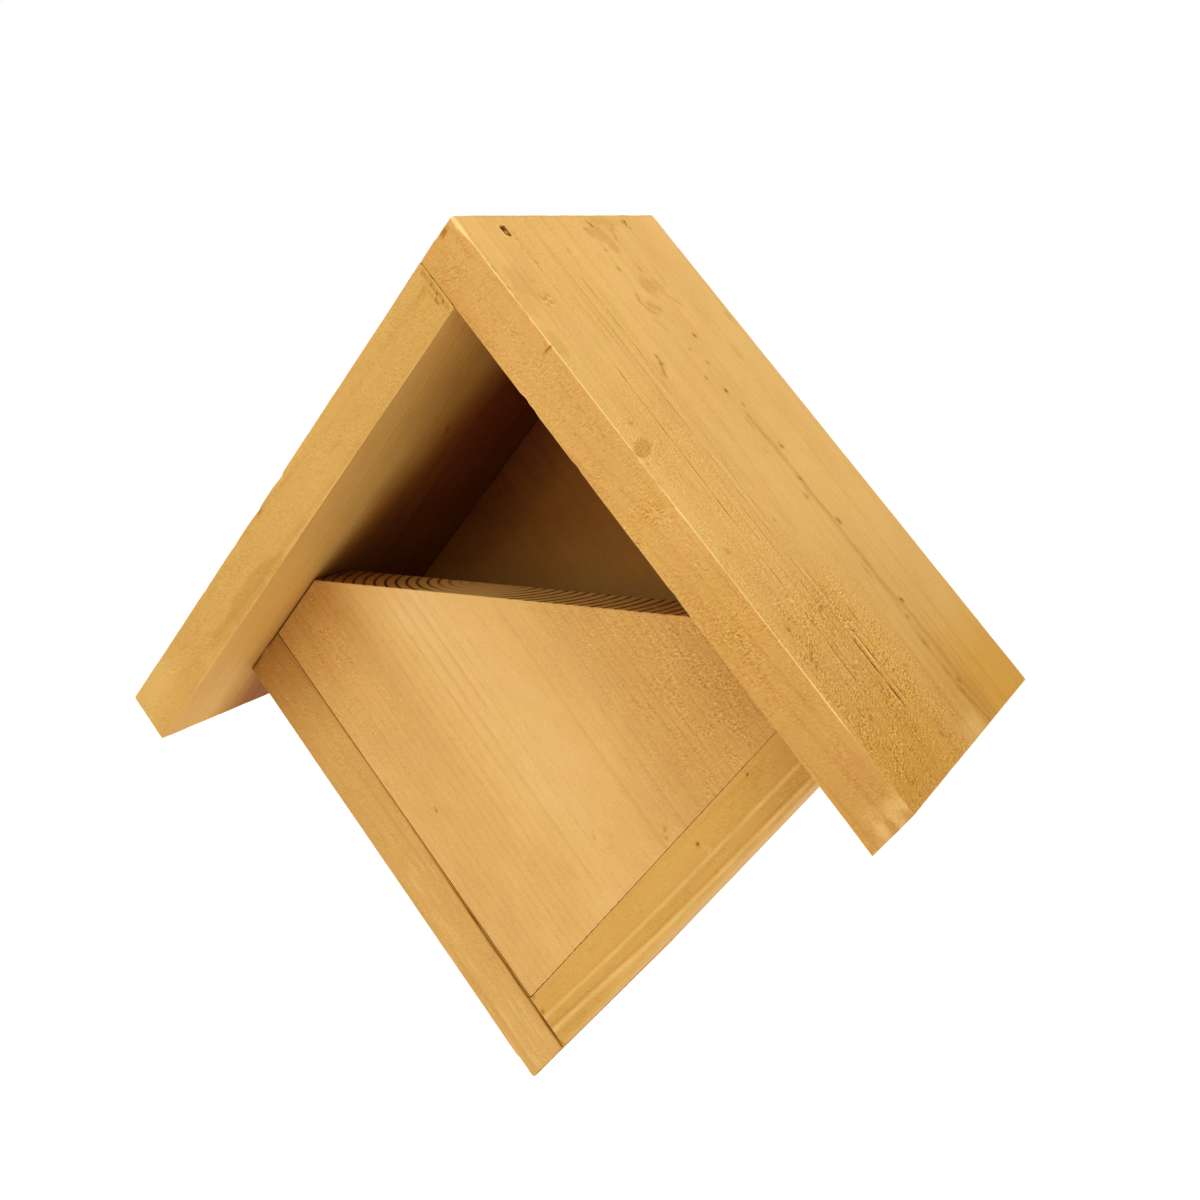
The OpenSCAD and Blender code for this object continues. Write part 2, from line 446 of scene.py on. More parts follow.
# Where lines of the grain run on the outer face, as (how far down the slope, how far from the front):
# a long split, two grooves that the planer left, and the two parts of a dark streak.
split_line = ((0, 27.5), (52, 27.5), (75, 26.4), (100, 26.2), (130, 25.2), (165, 25.5), (190, 24.1),
              (205, 24.6), (218, 25.0))
near_groove = ((0, 42.4), (60, 42.8), (85, 42.3), (115, 42.3), (150, 42.2), (176, 41.6), (218, 41.8))
far_groove = ((0, 46.6), (50, 47.0), (80, 46.6), (115, 46.1), (140, 45.6), (190, 45.4), (218, 45.6))
near_streak = ((0, 85.0), (155, 85.2), (175, 85.7), (187, 85.3), (203, 84.7), (208, 86.2), (213, 88.0),
               (218, 88.6))
far_streak = ((0, 89.0), (12, 89.0), (75, 87.0), (90, 88.2), (100, 89.0), (118, 89.8), (125, 89.2),
              (135, 90.4), (150, 90.2), (160, 89.6), (175, 92.0), (190, 92.8), (200, 91.8), (218, 91.6))


def beside(line, step):
    """The same line, a step further from the front."""
    return [(down, back + step) for down, back in line]


def level(back):
    """A line straight down the board."""
    return ((0, back), (right_roof_long, back))


# Each row of cuts that follows a line, and the line
split_row = 27.5
near_groove_row = 42.4
far_groove_row = 46.8
near_streak_row = 85.0
far_streak_row = 89.0
grain_lines = [(0.0, level(0)), (4.0, level(4)), (split_row - 0.8, beside(split_line, -0.8)),
               (split_row + 0.8, beside(split_line, 0.8)), (near_groove_row, near_groove),
               (far_groove_row, far_groove), (near_streak_row, near_streak), (far_streak_row, far_streak),
               (136.0, level(136)), (roof_deep, level(roof_deep))]


def between(value, points):
    """The height of a line of points over a value."""
    for (x0, y0), (x1, y1) in zip(points, points[1:]):
        if value <= x1:
            return y0 + (y1 - y0) * max(value - x0, 0) / (x1 - x0)
    return points[-1][1]


def follow_grain(a, w):
    """How far from the front a cut lies, once it bends with the lines of the grain."""
    for (w0, line0), (w1, line1) in zip(grain_lines, grain_lines[1:]):
        if w <= w1:
            y0 = between(a, line0)
            y1 = between(a, line1)
            return y0 + (y1 - y0) * (w - w0) / (w1 - w0)
    return w


def right_roof_put(a, w, t):
    return place(a, t, follow_grain(a, w) - roof_deep)


def arris_radius(a, w, t, base, seed, least=0.15):
    """An arris that was eased by hand with sandpaper, so its radius varies."""
    wave = 0.45 * grain_noise(a, w, t, 9, 9, seed) + 0.25 * grain_noise(a, w, t, 2.5, 2.5, seed + 3)
    return max(base * (1 + wave), least)


def chipped(along, width, chips):
    """How much wider an arris is where it is chipped. Each chip is a place and a size."""
    return sum(size * soft(along - chip, width) for chip, size in chips)


def right_roof_ease(a, w, t):
    base = 0.45
    if w < near_arris < t:
        base = 0.42 + chipped(a, 1.6, ((54, 1.0), (58, 0.6), (80, 0.8), (84, 0.5), (127, 0.4)))
    elif w < near_arris:
        # The front arris splintered at the ridge, and is chipped beside the knot
        base = 0.40 + 1.3 * soft(a - 3.5, 4.5)
        base += chipped(a, 1.3, ((41, 0.3), (50, 0.4), (94, 0.6), (99, 0.5), (104, 0.7), (113, 0.3)))
    elif a < near_arris:
        base = 0.5
    radius = arris_radius(a, w, t, base, 1.0)
    return min(radius, 0.6), radius, radius


def brad_pockets(skin, a, w, pockets):
    """The pockets that brads were driven into. The gun's nose leaves a dent round each one, with a torn,
    stained rim and a tail along the grain."""
    dent_long = 2.34
    dent_wide = 0.9
    for centre_a, centre_w in pockets:
        along = abs(a - centre_a)
        aside = abs(w - centre_w)
        if along > 12 or aside > 5:
            continue
        if along < pocket_long - 0.05 and aside < pocket_wide - 0.05:
            skin.depth = max(skin.depth, head_below)
            skin.darken(0.35)
            continue
        outside = math.hypot(max(abs(a - centre_a - 0.8) - dent_long, 0), max(aside - dent_wide, 0))
        torn = 0.75 + 0.55 * grain_noise(a, w, 0, 1.4, 0.8, centre_w)
        skin.depth = max(skin.depth, 0.25 * soft(outside, 0.5) * torn)
        skin.darken(min(0.95 * torn * soft(outside - 0.15, 0.42), 0.95))
        if a > centre_a:
            tail = soft(w - centre_w - 0.9 * grain_noise(a, 0, 0, 3.0, 1, centre_w), 0.45)
            skin.darken(min(0.7 * tail * fall(a, centre_a + 3, centre_a + 8) * torn, 0.95))


def first_ridge_brad(skin, a, w):
    """The first ridge brad: its head lies at the bottom of a torn hole with dark edges."""
    from_left = a - 4.7 - 0.12 * (25 - w)
    from_right = 8.9 - a - 0.35 * abs(w - 24.6)
    from_front = w - 22.3 - 0.15 * (a - 4.7)
    from_back = 26.0 - w
    inside = min(from_left, from_right, from_front, from_back)
    if inside < -1.5:
        return
    torn = 0.5 + 0.8 * grain_noise(a, w, 0, 0.7, 1.3, 6)
    core = 0.92 * soft(oval(a, w, 5.5, 24.4, 1, 1.5), 0.80)
    core += 0.55 * soft(oval(a, w, 7.9, 25.0, 1, 1.5), 0.8)
    core += 0.45 * soft(oval(a, w, 6.9, 23.5, 1, 1.2), 0.4)
    rim = 0.55 * soft(inside - 0.1, 0.35)
    filled = min(core + rim + 0.50 * torn * rise(inside, 0, 0.4), 0.97)
    skin.darken(filled * rise(inside, -0.5, 0.1))
    skin.bare(0.35 * soft(oval(a, w, 6.6, 25.0, 1, 1.2), 0.3))
    skin.bare(0.5 * soft(inside + 0.65, 0.3) * fall(from_front, 0.0, 0.6))
    skin.depth += 0.45 * rise(inside, -0.1, 0.4)
    on_head = abs(a - ridge_brad_at) < pocket_long - 0.05 and from_left > 0
    if on_head and abs(w - ridge_brad_fronts[0]) < pocket_wide - 0.05:
        skin.depth = head_below


# Lines along the grain of the outer face: the row of cuts, where it starts and ends down the slope, how
# dark it is, and how pale its lit side is, which is the front one below 0. The short ones are cracks.
scored = ((split_row, 52, 130, 1.10, -0.60), (split_row, 116, 196, 1.05, -0.60),
          (split_row, -5, 214, 0.38, -0.30), (near_groove_row, 4, 96, 0.65, 0.45),
          (near_groove_row, 84, 172, 0.62, 0.62), (near_groove_row, 164, 200, 3.40, -0.70),
          (far_groove_row, 10, 100, 0.26, -0.70), (far_groove_row, 92, 134, 0.62, -0.82),
          (far_groove_row, 134, 166, 0.90, -1.10), (far_groove_row, 160, 186, 2.30, -2.50),
          (far_groove_row, 174, 204, 0.90, -0.80), (49.0, 16, 112, 0.62, 0.22), (51.0, 56, 116, 0.30, 0.20),
          (34.6, 20, 60, 0.36, -0.26), (38.6, 24, 64, 0.34, -0.24), (33.6, 102, 172, 0.50, 0.35),
          (37.8, 112, 196, 0.60, -0.42), (30.6, 150, 204, 0.42, 0.30), (20.0, 150, 206, 0.30, 0.22),
          (51.4, 156, 184, 0.60, -0.45), (55.0, 152, 178, 0.50, 0.35), (14.6, 176, 212, 0.30, -0.22))
scored_rows = sorted({line[0] for line in scored})


def scored_lines(skin, a, w):
    for row, start, end, dark, pale in scored:
        from_row = w - row
        if abs(from_row) < 1.4:
            kept = 0.72 + 0.9 * grain_noise(a, row, 0, 7, 1, 4)
            kept *= stretch(a, start, start + 14, end - 12, end)
            if abs(from_row) < 0.35:
                skin.depth += 0.14 * min(dark, 1.2) * kept
                skin.darken(min(0.30 * dark * kept, 0.8))
            elif 0.6 < from_row * math.copysign(1, pale) < 1.3:
                skin.bare(0.34 * abs(pale) * kept)


def resin_streak(skin, a, w, actual):
    """The long streak of resin, with darker pieces in it, and its branch towards the lower end."""
    strong = rise(a, 86, 92) * (1 - 0.45 * soft(a - 113, 3)) * (1 - 0.6 * soft(a - 141, 5))
    strong *= 1 - 0.35 * rise(a, 165, 180)
    wobble = w - far_streak_row - 0.6 * grain_noise(a, 0, 0, 10, 1, 9)
    main = rise(a, 66, 82) * (0.05 + 0.145 * strong) * soft(wobble, 1.7)
    main += 0.07 * strong * soft(wobble - 0.9, 0.6)
    main *= 0.85 + 0.6 * grain_noise(a, w, 0, 4, 1.0, 2)
    pieces = 0.7 * soft(a - 156, 3) + 0.8 * soft(a - 185, 4) + 0.7 * soft(a - 197, 2) + rise(a, 200, 204)
    branch = (0.03 * rise(a, 143, 152) + 0.25 * min(pieces, 1)) * soft(w - near_streak_row, 1.1)
    branch *= 0.9 + 0.7 * grain_noise(a, w, 0, 2.0, 1.0, 12)
    soaked_end = 0.11 * rise(a, 190, 206) * soft(actual - 94, 8)
    skin.darken(max(main + 0.4 * soaked_end, branch + 0.4 * soaked_end, soaked_end))


# Small dark dots: how far down the slope, how far from the front, their size, and how dark
roof_dots = (
    (79.5, 87.0, 0.9, 0.75), (86.5, 91.2, 0.7, 0.6), (104.8, 95.2, 0.8, 0.8), (137.0, 93.6, 0.9, 0.85),
    (170.2, 93.6, 0.9, 0.8), (118.0, 90.0, 1.0, 0.5), (124.5, 84.6, 1.2, 0.35), (175.6, 88.2, 0.8, 0.5),
    (201.6, 89.2, 1.2, 0.45), (55.8, 96.0, 0.8, 0.7), (67.5, 89.6, 0.8, 0.35), (61.0, 84.5, 0.6, 0.35),
    (73.0, 80.0, 0.8, 0.3), (24.6, 79.0, 1.0, 0.40), (16.0, 80.6, 0.6, 0.40), (25.4, 94.6, 0.7, 0.35),
    (15.6, 54.6, 0.6, 0.35), (7.6, 28.4, 0.4, 0.25), (9.8, 27.2, 0.5, 0.35), (12.2, 27.8, 0.4, 0.3),
    (13.8, 26.0, 0.5, 0.35), (16.2, 27.0, 0.4, 0.25), (19.8, 28.4, 0.5, 0.35), (21.6, 27.4, 0.4, 0.3),
    (129.4, 9.2, 0.8, 0.45), (157.5, 9.4, 0.8, 0.40), (209.0, 50.2, 0.8, 0.45), (82.0, 10.6, 0.9, 0.30),
    (49.0, 88.4, 0.5, 0.3), (185.6, 85.6, 1.0, 0.4), (127.0, 50.6, 0.6, 0.3))


def dark_dots(skin, a, w, dots, spread, pit_spread, sink, squash=1.0):
    """Dots and the pits that they lie in. spread is how far either reaches for its size."""
    for at_a, at_w, size, strength in dots:
        if abs(a - at_a) < 3 and abs(w - at_w) < 3:
            away = math.hypot(a - at_a, (w - at_w) * squash) / size
            skin.darken(strength * soft(away, spread))
            skin.depth += sink * strength * soft(away, pit_spread)


# Thin dark strokes: from one place to another on the outer face, half their width, and how dark. The
# first ten are what shows of the second and third ridge brads, which are stained over.
strokes = ((2.5, 83.4, 3.6, 83.2, 0.45, 0.80), (4.2, 84.4, 5.3, 84.7, 0.58, 0.98),
           (6.2, 77.5, 6.8, 78.1, 0.45, 0.62), (3.7, 109.6, 3.9, 109.9, 0.55, 0.80),
           (3.0, 111.2, 3.0, 112.6, 0.40, 0.60), (3.2, 112.2, 5.0, 111.5, 0.50, 0.85),
           (5.0, 111.5, 6.0, 111.8, 0.35, 0.45), (6.6, 112.3, 6.8, 112.5, 0.45, 0.55),
           (6.1, 109.1, 6.2, 109.3, 0.40, 0.35), (8.1, 107.9, 8.3, 108.1, 0.40, 0.35),
           (4.6, 100.2, 7.4, 97.2, 0.8, 0.24), (7.4, 97.2, 12.0, 94.2, 0.7, 0.20),
           (61.4, 57.6, 64.2, 57.4, 0.9, 0.70), (64.0, 56.6, 68.6, 53.6, 0.8, 0.42),
           (36.2, 77.2, 39.0, 75.6, 0.8, 0.34), (39.0, 75.6, 43.4, 77.4, 0.8, 0.28),
           (43.4, 77.4, 45.2, 81.0, 0.7, 0.22), (40.6, 80.4, 43.0, 86.0, 1.0, 0.30),
           (46.6, 75.4, 51.6, 79.0, 0.8, 0.14), (38.6, 101.4, 42.4, 104.0, 0.9, 0.24),
           (31.0, 93.0, 34.4, 88.0, 1.6, 0.24), (166.4, 12.0, 168.2, 8.6, 0.4, 0.45),
           (177.6, 31.0, 179.4, 26.8, 0.4, 0.50), (189.4, 20.6, 191.6, 16.0, 0.4, 0.50),
           (157.2, 38.6, 158.6, 34.6, 0.5, 0.45), (187.0, 61.6, 188.6, 59.0, 0.4, 0.45),
           (162.4, 54.4, 165.8, 53.2, 0.5, 0.40), (168.0, 44.2, 169.2, 46.6, 0.4, 0.45))


def off_stroke(a, w, a0, w0, a1, w1):
    """How far a place is from a straight stroke."""
    along = ((a - a0) * (a1 - a0) + (w - w0) * (w1 - w0)) / ((a1 - a0) ** 2 + (w1 - w0) ** 2)
    along = min(max(along, 0), 1)
    return math.hypot(a - a0 - along * (a1 - a0), w - w0 - along * (w1 - w0))


def dark_strokes(skin, a, w):
    for a0, w0, a1, w1, half_width, strength in strokes:
        if min(a0, a1) - 3 < a < max(a0, a1) + 3 and min(w0, w1) - 3 < w < max(w0, w1) + 3:
            ragged = 0.8 + 0.6 * grain_noise(a, w, 0, 1.5, 1.5, a0)
            near = soft(off_stroke(a, w, a0, w0, a1, w1), half_width)
            skin.darken(strength * ragged * near)
            skin.depth += 0.2 * strength * near


# Soft brown patches on the outer face: down the slope, from the front, half length, half width, darkness
patches = ((8.6, 84.0, 4.0, 5.5, 0.155), (13.6, 89.0, 4.0, 3.5, 0.12), (8.6, 79.4, 2.0, 3.0, 0.14),
           (5.0, 96.0, 4.0, 3.5, 0.08), (33.2, 91.0, 5.0, 5.5, 0.145), (34.0, 98.5, 4.5, 3.5, 0.10),
           (25.0, 94.0, 4.0, 6.0, 0.03), (42.0, 82.0, 3.6, 4.2, 0.105), (28.0, 10.5, 8.0, 7.5, 0.10),
           (36.0, 4.0, 5.0, 3.0, 0.08), (51.0, 4.0, 5.0, 4.0, 0.08), (20.0, 72.5, 4.0, 2.6, 0.045),
           (65.0, 119.0, 4.0, 2.6, 0.07), (50.0, 136.0, 3.0, 2.2, 0.13),
           (18.0, 112.0, 8.0, 3.5, 0.05), (49.0, 114.0, 8.0, 4.5, 0.05), (3.0, 97.0, 2.5, 12.0, 0.08),
           (30.0, 105.5, 5.0, 2.5, 0.06), (104.5, 81.0, 1.6, 1.5, 0.10), (93.0, 85.4, 3.0, 1.4, 0.10))


def brown_patches(skin, a, w):
    for at_a, at_w, long, wide, strength in patches:
        reach = oval(a, w, at_a, at_w, long, wide) ** 2
        if reach < 4:
            reach += 0.9 * grain_noise(a, w, 0, 3.5, 4, at_a) + 0.5 * grain_noise(a, w, 0, 1.2, 1.6, 5)
            skin.darken(strength * fall(reach, 0.35, 1.3))


# Small lifted splinters, pale on top: down the slope, from the front
splinters = ((35.4, 16.6), (34.0, 19.4), (36.6, 18.6), (158.8, 36.4), (165.6, 46.2), (166.6, 49.0),
             (178.4, 29.4), (190.2, 18.8), (187.6, 60.4), (176.2, 33.0), (129.0, 30.0), (181.4, 24.6),
             (150.6, 23.0))


def lifted_splinters(skin, a, w):
    for at_a, at_w in splinters:
        if abs(a - at_a) < 2 and abs(w - at_w) < 3:
            lift = soft(oval(a, w, at_a, at_w, 0.6, 1.1), 1)
            skin.bare(0.55 * lift)
            skin.depth -= 0.05 * lift
            skin.darken(0.34 * soft(oval(a, w, at_a - 1.1, at_w, 0.5, 1.3), 1))


def knot_by_front(skin, a, w):
    """A loose knot beside the front arris, with a dark rim."""
    knot = math.hypot((a - 90.8) / 2.9, (w - 6.4 + 0.8 * (a - 90.8)) / 5.2)
    if knot < 1.8:
        ragged = knot + 0.20 * grain_noise(a, w, 0, 1.3, 1.8, 3)
        skin.darken(0.21 * fall(ragged, 0.85, 1.08) + 0.13 * soft(ragged - 0.95, 0.12))
        skin.depth += 0.06 * soft(ragged - 0.95, 0.3)


def torn_grain(skin, a, w):
    """Grain torn up by the planer: a little by the front arris, badly at the lower end, where the stain
    lies thicker in it."""
    scuff = 1.2 * soft(a - 35, 2.6) * soft(w - 18.0, 2.6)
    torn = rise(a, 130, 165) * fall(w, 52, 84) * (1 - 0.2 * rise(a, 208, 218))
    torn *= 0.65 + 0.35 * rise(grain_noise(a, w, 0, 24, 14, 7), -0.4, 0.3)
    torn *= 1 - 0.14 * fall(w, 15, 30)
    by_front = 0.27 * rise(a, 40, 100) * fall(w, 30, 60)
    by_ridge = 0.10 * fall(a, 70, 110) * soft(w - 48, 22)
    skin.coarse += max(0.62 * torn, by_front, by_ridge, scuff)
    skin.deep += 0.03 * torn + 0.05 * rise(a, 203, 214) * fall(w, 20, 40)


# Darker and paler places on the front edge: down the slope, how far in, half length, half width, change
edge_places = ((199, 7, 9, 7, 0.03), (171, 11, 16, 5, -0.03), (128, 13, 16, 4, 0.06), (80, 6, 20, 5, 0.05),
               (40, 14, 22, 4, -0.05), (104, 6, 5, 4, 0.04))


def right_roof_front_edge(skin, a, w, t):
    """The front edge is a little furry from the saw, and has a short scratch across its outer arris."""
    skin.depth += 0.02 * grain_noise(a, w, t, 1.5, 1.2, 20)
    skin.deep = 0.80 * skin.deep - 0.04 + 0.04 * stretch(a, 118, 134, 176, 186)
    skin.coarse = 0.27 + 0.20 * soft(a - 106, 6) + 0.18 * soft(a - 148, 12) - 0.09 * rise(a, 158, 180)
    if a < 2 and t < near_arris:
        skin.darken(0.45 * soft(t - 5.6, 1.6))
    across = a - 51.0 + 0.12 * t
    if abs(across) < 1.4 and t < 5:
        skin.darken(0.62 * soft(across, 0.35) * fall(t, 3.0, 4.0))
    for at_a, at_t, long, wide, change in edge_places:
        skin.deep += change * soft(oval(a, t, at_a, at_t, long, wide), 1.0)
    # The lower end is split open and pale
    if a > 200:
        pale = grain_noise(a, t, 0, 6, 3, 17)
        skin.bare(0.36 * rise(a, 205, 214) * rise(pale, -0.3, 0.30) * fall(t, 11, 16))
        skin.darken(0.12 * rise(a, 203, 208) * soft(t - 5 - 1.4 * math.sin(a * 0.9), 0.5))


def right_roof_relief(a, w, t, out):
    skin = Skin(planed(a, w, t, 2, 0.05, (0.04, 40, 8), (0.02, 12, 1.6)),
                rubbed(a, w, t, out, 2, 4.0, 0.50, 0.45, 7, 4))
    if w < near_arris and t < near_arris:
        # The front arris is rubbed bright, and is lightened further along it as a painted highlight, save
        # beside the knot and at the rough lower end
        skin.wear_and_highlight = rubbed(a, 0, 0, out, 2, 6.0, 0.85, 0.35, 5, 1)
        skin.wear_and_highlight *= (1 - 0.6 * stretch(a, 88, 92, 104, 108)) * (1 - 0.85 * rise(a, 184, 196))
    actual = follow_grain(a, w)
    skin.deep = 0.15 * rise(a, 110, 200) + 0.05 * rise(a, 175, 218)
    skin.coarse = 0.08
    if out.z < -face_tilt:
        first_ridge_brad(skin, a, w)
        scored_lines(skin, a, w)
        resin_streak(skin, a, w, actual)
        dark_dots(skin, a, actual, roof_dots, 1.0, 1.0, 0.15, 0.8)
        dark_strokes(skin, a, actual)
        brown_patches(skin, a, actual)
        lifted_splinters(skin, a, actual)
        knot_by_front(skin, a, actual)
        torn_grain(skin, a, actual)
        # The ridge arris is a little browner, and chips in the front arris have stain in them
        skin.darken(0.13 * fall(a, 0.3, 1.1))
        if actual < 1.6:
            chip = rise(grain_noise(a, 0, 0, 2.2, 1, 61), 0.0, 0.4)
            skin.darken(0.34 * chip * (soft(a - 28, 11) + soft(a - 50, 3) + 0.7 * soft(a - 100, 8)))
        if a > 206:
            skin.bare(0.22 * rise(a, 208, 215) * stretch(actual, 60, 68, 79, 85))
    if out.y < -edge_tilt:
        right_roof_front_edge(skin, a, w, t)
    # Painted shade: the inner face is darkened from a little behind the front towards the back, inside the
    # box
    if out.z > face_tilt:
        skin.deep += 0.6 * rise(w, 26, 50)
    return skin


def right_roof_creep(a, w, t):
    """Stain crept in from the lower end, least between the torn grain and the streak."""
    return rise(a, 172, 208) * (1 - 0.8 * soft(w - 68, 16)) * (0.6 + 0.4 * rise(w, 60, 88))


scored_steps = (-1.25, -0.75, -0.3, 0.3, 0.75, 1.25)
roof_right = board(
    "roof_board_right_wood",
    cuts(0, right_roof_long, 1.3,
         at=pocket_cuts([ridge_brad_at], pocket_long, 0.18) + [4.7, 9.2],
         fine=((0, 9.5, 0.4), (9.5, 46, 0.9), (49, 53, 0.4), (60, 69, 0.8), (86, 96, 0.8), (140, 214, 0.9))),
    cuts(0, roof_deep, 1.5,
         at=pocket_cuts(ridge_brad_fronts, pocket_wide, 0.14)
         + [row + step for row in scored_rows for step in scored_steps]
         + [near_streak_row + step for step in (-1, 0, 1)]
         + [far_streak_row + step for step in (-1.6, -0.8, 0, 0.8, 1.6)],
         fine=((0, 20, 1.1), (20.5, 27, 0.4), (28, 52, 1.2), (52, 59, 0.8), (74, 82, 0.8), (82, 86, 0.4),
               (86, 107, 0.8), (107, 113.5, 0.45))),
    cuts(0, roof_thick, 1.0),
    right_roof_put, (down_right, to_wall, in_from_right), right_roof_ease, right_roof_relief,
    lambda run: 0.045 * run, right_roof_creep)
honey_tones = ((0.225, 0.033, 0.003), (0.48, 0.245, 0.046), (0.71, 0.447, 0.148), (0.86, 0.62, 0.28))
roof_right.data.materials.append(
    stained_wood("roof_right_honey_stain", 1.0, (62.0, 46.0), 3.6, honey_tones,
                 edge_tint_and_shade=(0.885, 0.82, 0.76), creep_tint=(0.97, 0.905, 0.48)))
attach(roof_right, "root")
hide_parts("roof_board_right")

# Left roof board: the same stock. Its top end butts against the right board's inner face, and brads go
# through it into the lower left board and the back panel.
left_roof_long = 200.0
clear_inside = 155.0
side_stock = 19.0
porch = 30.0
corner_inset = 18.0
panel_inset = 32.0
panel_thick = 18.0

# The inner and outer faces of the lower boards, down either slope, and where brads enter them and the
# panels: down a slope, and from the front of the roof
inner_face = roof_thick + clear_inside
outer_face = inner_face + side_stock / math.sin(2 * half_ridge)
side_middle = (inner_face + outer_face) / 2
corner_fronts = (porch + corner_inset, (porch + roof_deep) / 2, roof_deep - corner_inset)
panel_brads = (round(roof_thick + panel_inset, 3), round(inner_face - panel_inset, 3))
back_brad_front = roof_deep - panel_thick / 2
left_roof_pockets = [(side_middle, front) for front in corner_fronts]
left_roof_pockets += [(left, back_brad_front) for left in panel_brads]


def left_roof_put(a, w, t):
    return place(t, a, w - roof_deep)


def left_roof_ease(a, w, t):
    base = 0.55
    if w < near_arris and t < near_arris:
        base += chipped(a, 1.3, ((108.5, 1.3), (111, 0.9), (124, 1.1), (126, 0.5), (141, 0.4), (163, 0.4)))
    if a < roof_thick + near_arris:
        base = 0.3
    radius = arris_radius(a, w, t, base, 31.0)
    return radius, radius, radius


# Brown patches on the front edge: down the slope, how far in, half length, half width, darkness
edge_patches = ((24, 6.5, 3, 1, 0.10), (147, 14.5, 17, 4.0, 0.13), (167, 15.0, 8, 3.0, 0.10),
                (132, 16.5, 6, 2.5, 0.10))


def left_roof_front_edge(skin, a, w, t):
    """The front edge has dark crumbs below the ridge, and brown patches by the inner arris."""
    skin.coarse = 0.20
    skin.depth += 0.02 * grain_noise(a, w, t, 1.6, 1.3, 41)
    skin.darken(0.5 * soft(a - 124, 1.4) * fall(t, 0.8, 2.4))
    if a < 24:
        crumb = rise(grain_noise(a, t, 0, 0.8, 1.1, 47), -0.05, 0.25)
        line = soft(a - 19.9 - 0.04 * (t - 8), 0.65) * stretch(t, 1.0, 3.0, 15, 18)
        second = soft(a - 21.7, 0.6) * stretch(t, 7, 9, 13, 15)
        skin.darken(max(0.72 * crumb * line, 0.12 * line, 0.50 * crumb * second))
    for at_a, at_t, long, wide, strength in edge_patches:
        reach = oval(a, t, at_a, at_t, long, wide) ** 2 + 0.5 * grain_noise(a, t, 0, 4, 3, at_a)
        skin.darken(strength * fall(reach, 0.5, 1.3))
    skin.bare(0.12 * rise(a, 180, 200) * fall(t, 8, 15))


def left_roof_relief(a, w, t, out):
    skin = Skin(planed(a, w, t, 32, 0.05, (0.04, 45, 9), (0.02, 14, 1.7)),
                rubbed(a, w, t, out, 32, 2.6, 0.45, 0.45, 8, 4))
    skin.deep = 0.08 * stretch(a, 120, 218, 185, 205)
    if out.z < -face_tilt:
        brad_pockets(skin, a, w, left_roof_pockets)
    if out.y < -edge_tilt:
        left_roof_front_edge(skin, a, w, t)
    if out.z > face_tilt:
        # Painted shade: inside the box, the face is darkened the further back and down it lies
        start = 20 + 0.24 * max(145 - a, 0) - 8 * fall(a, 95, 125)
        shade_rises_over = 27 + 17 * fall(a, 85, 125)
        skin.deep += (0.88 - 0.10 * rise(a, 120, 145)) * rise(w, start, start + shade_rises_over)
        skin.deep += 0.12 * fall(a, 70, 120) * rise(w, 4, 40)
        skin.deep -= 0.05 * rise(a, 100, 135) * fall(w, 20, 30)
        skin.deep += 0.19 * fall(a, 50, 88) * soft(w - 34, 17)
        skin.darken(0.42 * soft(off_stroke(a, w, 75.0, 50.5, 79.5, 53.0), 0.8))
    return skin


roof_left = board(
    "roof_board_left_wood",
    cuts(roof_thick, roof_thick + left_roof_long, 1.9,
         at=pocket_cuts([side_middle, *panel_brads], pocket_long, 0.18),
         fine=((18, 24, 0.45), (74, 81, 0.7), (104, 128, 0.9))),
    cuts(0, roof_deep, 2.0,
         at=pocket_cuts([*corner_fronts, back_brad_front], pocket_wide, 0.14),
         fine=((48, 55, 0.7),)),
    cuts(0, roof_thick, 0.8),
    left_roof_put, (down_left, to_wall, in_from_left), left_roof_ease, left_roof_relief,
    lambda run: -0.03 * run)
roof_left.data.materials.append(
    stained_wood("roof_left_honey_stain", 2.0, (84.0, -38.0), 3.9, honey_tones,
                 edge_tint_and_shade=(0.875, 0.85, 0.775)))
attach(roof_left, "root")
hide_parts("roof_board_left")

# Lower left board: 19 mm thick, butted against the left roof board. It runs through to the bottom tip,
# where brads go through it into the lower right board, and further up into the two panels.
box_deep = roof_deep - porch
side_corner_fronts = [front - porch for front in corner_fronts]
panel_brad_fronts = (panel_thick / 2, box_deep - panel_thick / 2)
panel_pockets = [(down, front) for down in panel_brads for front in panel_brad_fronts]
side_left_pockets = [(side_middle, front) for front in side_corner_fronts] + panel_pockets
side_tones = ((0.27, 0.075, 0.010), (0.48, 0.242, 0.045), (0.70, 0.432, 0.132), (0.84, 0.60, 0.26))


def side_left_put(a, w, t):
    return place(a, t, w - box_deep)


def side_left_ease(a, w, t):
    base = 0.45
    if a < roof_thick + near_arris:
        base = 0.28
    if a > outer_face - near_arris and t > inner_face + near_arris:
        base = 1.0
    radius = arris_radius(a, w, t, base, 51.0)
    return radius, radius, radius


